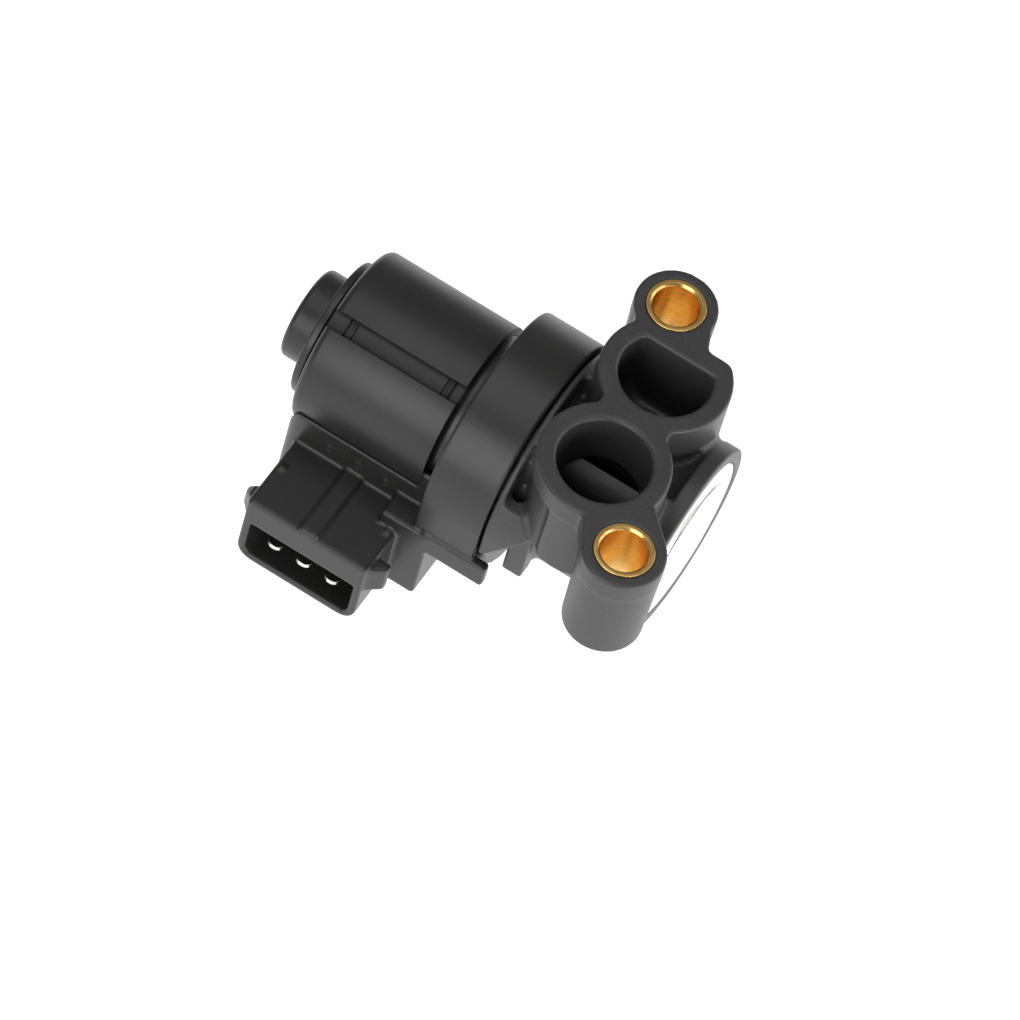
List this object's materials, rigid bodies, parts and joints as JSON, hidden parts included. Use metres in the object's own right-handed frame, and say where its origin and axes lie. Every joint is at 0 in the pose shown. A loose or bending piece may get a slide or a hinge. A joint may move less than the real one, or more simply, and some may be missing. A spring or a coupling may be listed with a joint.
{
  "type": "idle air control valve",
  "caption": "Black rotary idle air control valve with a plastic valve housing with a round and a D-shaped port, brass-sleeved screw holes, a round actuator and a flat-pin connector socket",
  "frame": {"origin": "centre of the round port on the port face", "axes": "+X along the rotor axis from the rear cap to the end cover, +Y from the round port towards the D-shaped port, +Z out of the port face"},
  "size_m": [0.0707, 0.0551, 0.0451],
  "materials": {
    "housing_plastic": "glass filled nylon, dark grey black, fine grain",
    "actuator_plastic": "glass filled plastic, black, satin",
    "shell_steel": "rolled steel with a satin black coat",
    "brass": "turned brass, bright",
    "terminal_metal": "tin plated copper alloy",
    "seal_rubber": "nitrile rubber, matt",
    "bush_bronze": "sintered bronze",
    "bright_steel": "ground steel",
    "pole_steel": "soft iron with a dark oxide coat",
    "bobbin_plastic": "glass filled plastic, dark",
    "copper_wire": "enamelled copper wire",
    "cover_alloy": "pressed aluminium, bright and plain",
    "magnet_ceramic": "plastic bonded ferrite",
    "shutter_alloy": "die cast aluminium with a dark hard coat"
  },
  "bodies": {
    "housing": {"valve_housing": "housing_plastic", "end_cover": "cover_alloy", "end_cover_seal": "seal_rubber", "cover_bush": "bush_bronze", "sleeve_upper": "brass", "sleeve_lower": "brass", "stop_pin": "bright_steel", "shaft_seal": "seal_rubber", "joint_seal": "seal_rubber", "actuator_body": "actuator_plastic", "yoke_shell": "shell_steel", "rear_cap": "actuator_plastic", "terminal_left": "terminal_metal", "terminal_middle": "terminal_metal", "terminal_right": "terminal_metal", "coil_bobbin": "bobbin_plastic", "coil_cover": "actuator_plastic", "winding_close": "copper_wire", "winding_open": "copper_wire", "pole_plate_rear": "pole_steel", "pole_plate_front": "pole_steel", "bearing_shim": "bright_steel", "rear_bearing_outer": "bright_steel", "front_bearing_outer": "bright_steel"},
    "rotor": {"rear_bearing_inner": "bright_steel", "front_bearing_inner": "bright_steel", "rear_bearing_balls": "bright_steel", "front_bearing_balls": "bright_steel", "rotor_shaft": "bright_steel", "shaft_clip": "bright_steel", "magnet_hub": "shutter_alloy", "magnet_ring": "magnet_ceramic", "rotary_shutter": "shutter_alloy"}
  },
  "joints": [
    {"name": "shutter_turn", "type": "hinge", "parent": "housing", "child": "rotor", "pos_m": [0, 0.0093, -0.02165], "axis": [1, 0, 0], "range_deg": [-25, 35]}
  ]
}
